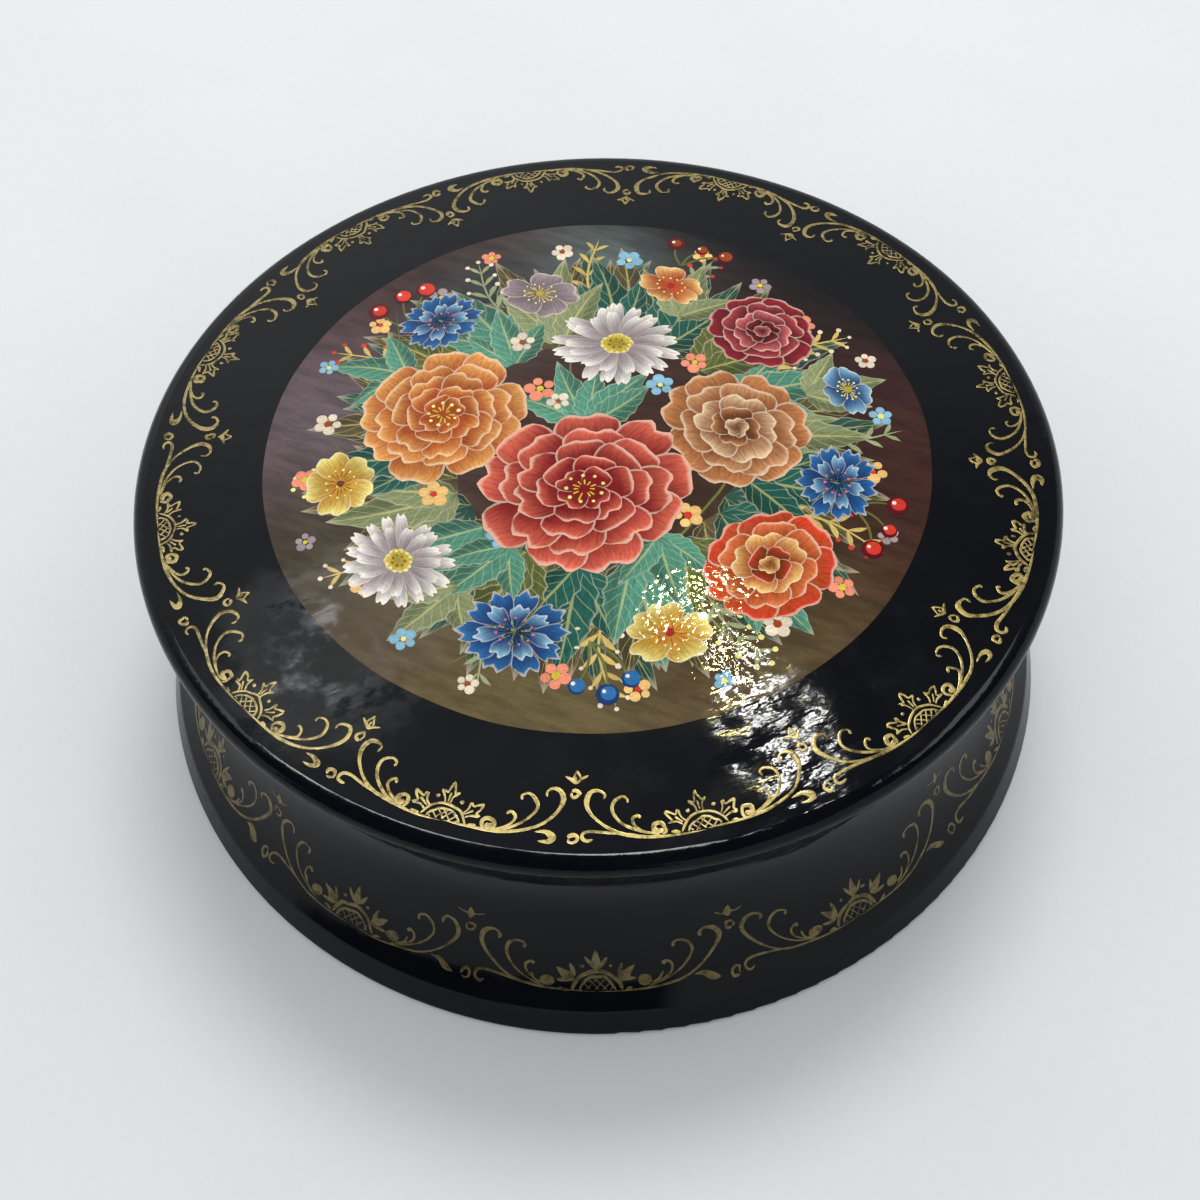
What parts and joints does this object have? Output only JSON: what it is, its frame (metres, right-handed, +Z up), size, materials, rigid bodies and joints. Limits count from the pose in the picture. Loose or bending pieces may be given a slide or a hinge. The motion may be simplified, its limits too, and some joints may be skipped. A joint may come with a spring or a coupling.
{
  "type": "lacquer box",
  "caption": "Round lacquered papier-mache box with a waisted wall on a flared foot and a crowned lid that lifts off, gold scroll border on black.",
  "frame": {"origin": "centre of the box's underside", "axes": "+Z up through the centre of the lid; -Y towards the picture's viewer, +X to the viewer's right"},
  "size_m": [0.1578, 0.1578, 0.0516],
  "materials": {
    "black_lacquer": "gloss",
    "red_lacquer": "gloss",
    "gold_paint": "satin",
    "miniature_paint": "gloss"
  },
  "bodies": {
    "box": {"bottom_board": "black_lacquer", "body_wall": "black_lacquer"},
    "lid": {"lid_board": "black_lacquer", "lid_collar": "red_lacquer"}
  },
  "joints": [
    {"name": "lid_lift", "type": "slide", "parent": "box", "child": "lid", "axis": [0, 0, 1], "range_m": [0, 0.08]}
  ]
}
